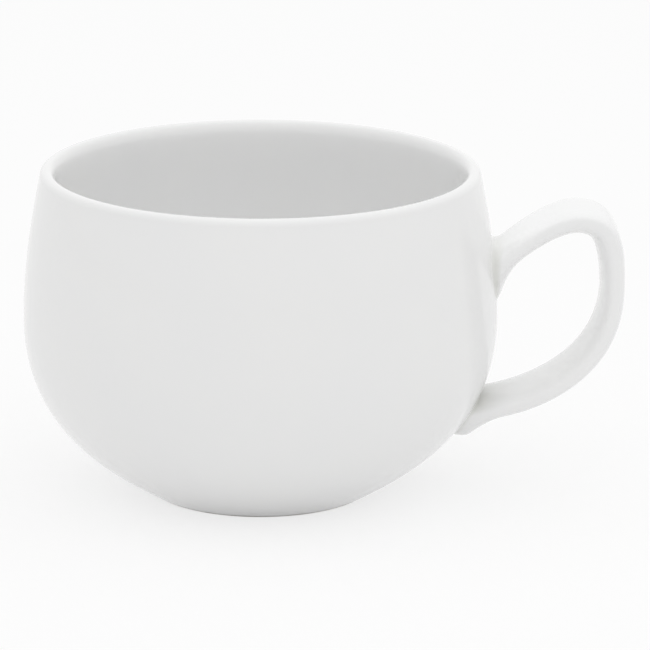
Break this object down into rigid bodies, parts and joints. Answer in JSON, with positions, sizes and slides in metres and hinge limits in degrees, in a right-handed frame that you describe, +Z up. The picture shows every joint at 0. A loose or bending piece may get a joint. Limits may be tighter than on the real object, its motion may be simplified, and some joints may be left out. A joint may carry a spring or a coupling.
{
  "type": "coffee cup",
  "caption": "Round-bellied white porcelain coffee cup with a rounded lip, a low foot ring and a strap handle with flared ends.",
  "frame": {"origin": "on the table, under the middle of the overall box of cup and handle; the axis of the bowl stands 11.48 mm towards -X", "axes": "+Z up, +X from the bowl towards the handle, millimetres in the source and metres in the row"},
  "size_m": [0.1096, 0.0866, 0.0601],
  "materials": {
    "glazed_porcelain": "gloss",
    "fired_slip": "gloss"
  },
  "bodies": {
    "root": {"cup_body": "glazed_porcelain", "handle": "glazed_porcelain", "upper_slip_joint": "fired_slip", "lower_slip_joint": "fired_slip"}
  },
  "joints": []
}
